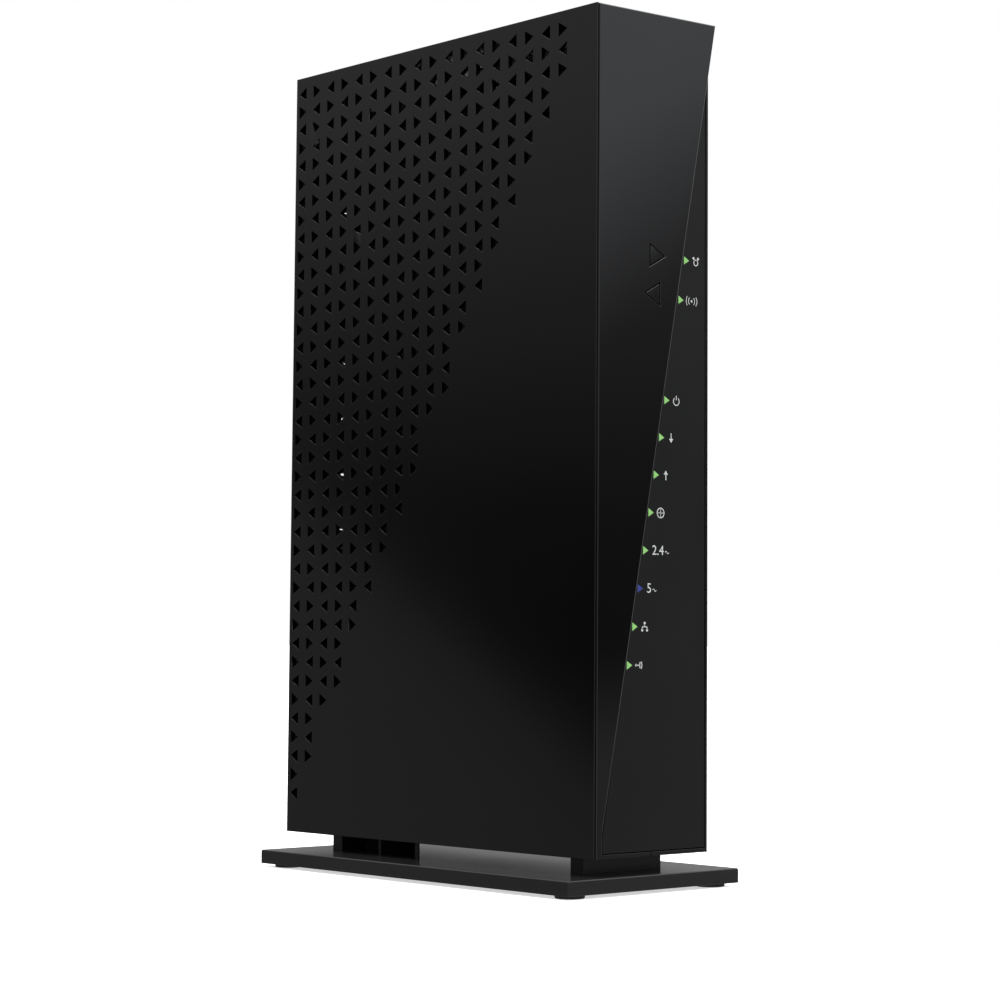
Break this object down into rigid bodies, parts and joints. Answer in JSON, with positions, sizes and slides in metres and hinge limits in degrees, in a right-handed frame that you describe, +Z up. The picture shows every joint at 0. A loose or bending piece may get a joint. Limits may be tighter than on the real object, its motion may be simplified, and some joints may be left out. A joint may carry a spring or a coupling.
{
  "type": "cable modem",
  "caption": "Upright cable modem: slim vented case with a glossy diagonal front wedge, lit status windows, push buttons and rear sockets, standing on a flat plate with feet.",
  "frame": {"origin": "centre of the outer box's underside, which is the plane the four feet stand on", "axes": "+Z up, front with the status windows faces -Y, sockets face +Y, +X to the right seen from the front"},
  "size_m": [0.0632, 0.1476, 0.2378],
  "materials": {
    "satin_black": "moulded satin black case plastic, fine texture",
    "gloss_black": "high gloss black front wedge",
    "panel_black": "smooth satin black front panel and buttons",
    "clear_guide": "clear moulded light pipe, lit green",
    "board_green": "glass fibre circuit board with green solder mask",
    "chip_black": "moulded black component package",
    "screw_steel": "zinc plated steel",
    "shield_steel": "tin plated steel sheet",
    "heat_sink_aluminium": "extruded aluminium",
    "capacitor_sleeve": "shrink sleeve on an aluminium can",
    "ribbon_white": "flat flexible cable",
    "socket_black": "moulded black socket housing",
    "nickel": "nickel plated brass",
    "insulator_white": "white dielectric",
    "lead_grey": "thin coaxial lead jacket",
    "foot_rubber": "soft black rubber pad"
  },
  "bodies": {
    "body": {"left_cover": "satin_black", "right_cover": "satin_black", "front_fascia": "gloss_black", "front_panel": "panel_black", "rear_panel": "satin_black", "status_light_pipe": "clear_guide", "status_board": "board_green", "wps_switch": "chip_black", "wifi_switch": "chip_black", "status_board_screw_1": "screw_steel", "status_board_screw_2": "screw_steel", "main_board": "board_green", "main_board_screw_1": "screw_steel", "main_board_screw_2": "screw_steel", "main_board_screw_3": "screw_steel", "main_board_screw_4": "screw_steel", "main_processor": "chip_black", "heat_sink": "heat_sink_aluminium", "memory_chip": "chip_black", "wifi_shield_2g": "shield_steel", "wifi_shield_5g": "shield_steel", "tuner_shield": "shield_steel", "lan_transformer": "chip_black", "filter_capacitor": "capacitor_sleeve", "front_ribbon": "ribbon_white", "usb_port_1": "shield_steel", "usb_port_2": "shield_steel", "lan_jack_1": "socket_black", "lan_jack_2": "socket_black", "lan_jack_3": "socket_black", "lan_jack_4": "socket_black", "coax_connector": "nickel", "coax_insulator": "insulator_white", "coax_nut": "nickel", "dc_inlet": "socket_black", "power_switch": "chip_black", "reset_switch": "chip_black", "rear_screw_1": "screw_steel", "rear_screw_2": "screw_steel", "antenna_top": "board_green", "antenna_front": "board_green", "antenna_side": "board_green", "antenna_lead_top": "lead_grey", "antenna_lead_front": "lead_grey", "antenna_lead_side": "lead_grey", "stand": "satin_black", "stand_screw_1": "screw_steel", "stand_screw_2": "screw_steel", "stand_screw_3": "screw_steel", "stand_screw_4": "screw_steel", "foot_1": "foot_rubber", "foot_2": "foot_rubber", "foot_3": "foot_rubber", "foot_4": "foot_rubber"},
    "wps_button": {"wps_button": "panel_black"},
    "wifi_button": {"wifi_button": "panel_black"},
    "power_button": {"power_button": "panel_black"},
    "reset_button": {"reset_button": "panel_black"}
  },
  "joints": [
    {"name": "wps_press", "type": "slide", "parent": "body", "child": "wps_button", "axis": [0, 1, 0], "range_m": [0, 0.0006], "stiffness_N_per_m": 2000},
    {"name": "wifi_press", "type": "slide", "parent": "body", "child": "wifi_button", "axis": [0, 1, 0], "range_m": [0, 0.0006], "stiffness_N_per_m": 2000},
    {"name": "power_press", "type": "slide", "parent": "body", "child": "power_button", "axis": [0, -1, 0], "range_m": [0, 0.003], "stiffness_N_per_m": 700},
    {"name": "reset_press", "type": "slide", "parent": "body", "child": "reset_button", "axis": [0, -1, 0], "range_m": [0, 0.0006], "stiffness_N_per_m": 2000}
  ]
}
